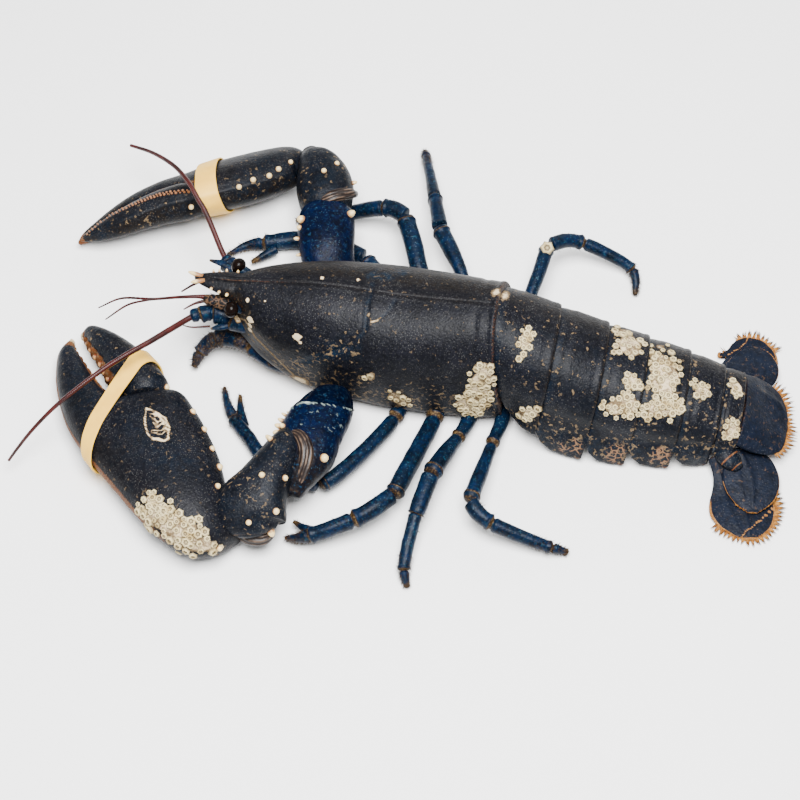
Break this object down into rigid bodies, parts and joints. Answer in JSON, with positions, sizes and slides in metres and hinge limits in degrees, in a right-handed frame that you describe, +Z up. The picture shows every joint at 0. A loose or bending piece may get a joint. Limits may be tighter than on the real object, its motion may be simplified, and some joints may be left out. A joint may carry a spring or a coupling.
{
  "type": "raw blue lobster",
  "caption": "Whole raw blue-black lobster resting on its underside, with a crusher and a cutter claw held shut by rubber bands, and barnacle clusters on its shell.",
  "frame": {"origin": "on the flat underside of the thorax, below the middle of the carapace", "axes": "+X from the head to the tail along the carapace, +Y to the animal's right side, +Z up"},
  "size_m": [0.3285, 0.2365, 0.0575],
  "materials": {
    "shell": "near-black navy shell with a soft sheen, fine pale specks and cream marks",
    "fan": "dark blue tail fan with a fringe of orange bristles",
    "limb": "blue mottled leg shell, satin",
    "feeler": "dark red-brown, fine rings",
    "eye": "glossy black, opaque",
    "underside": "pale brown membrane and plates, satin",
    "band": "pale yellow rubber, matt",
    "barnacle": "chalky cream-grey, rough",
    "horn": "cream knobs and spines with an orange base",
    "bristle": "orange-tan stiff bristles"
  },
  "bodies": {
    "root": {"abdomen_1": "shell", "abdomen_2": "shell", "abdomen_3": "shell", "abdomen_4": "shell", "abdomen_5": "shell", "abdomen_6": "shell", "antenna_base_left": "limb", "antenna_base_right": "limb", "antenna_left": "feeler", "antenna_right": "feeler", "antennule_left": "feeler", "antennule_right": "feeler", "band_left": "band", "band_right": "band", "carapace": "shell", "crusher_carpus": "shell", "crusher_finger": "shell", "crusher_merus": "limb", "crusher_palm": "shell", "cutter_carpus": "shell", "cutter_finger": "shell", "cutter_merus": "limb", "cutter_palm": "shell", "eye_left": "eye", "eye_right": "eye", "jaw_leg_left": "limb", "jaw_leg_right": "limb", "leg_2_left_lower": "limb", "leg_2_left_upper": "limb", "leg_2_right_lower": "limb", "leg_2_right_upper": "limb", "leg_3_left_lower": "limb", "leg_3_left_upper": "limb", "leg_3_right_lower": "limb", "leg_3_right_upper": "limb", "leg_4_left_lower": "limb", "leg_4_left_upper": "limb", "leg_4_right_lower": "limb", "leg_4_right_upper": "limb", "leg_5_left_lower": "limb", "leg_5_left_upper": "limb", "leg_5_right_lower": "limb", "leg_5_right_upper": "limb", "sternum": "underside", "telson": "fan", "uropod_left_inner": "fan", "uropod_left_outer": "fan", "uropod_right_inner": "fan", "uropod_right_outer": "fan"}
  },
  "joints": []
}
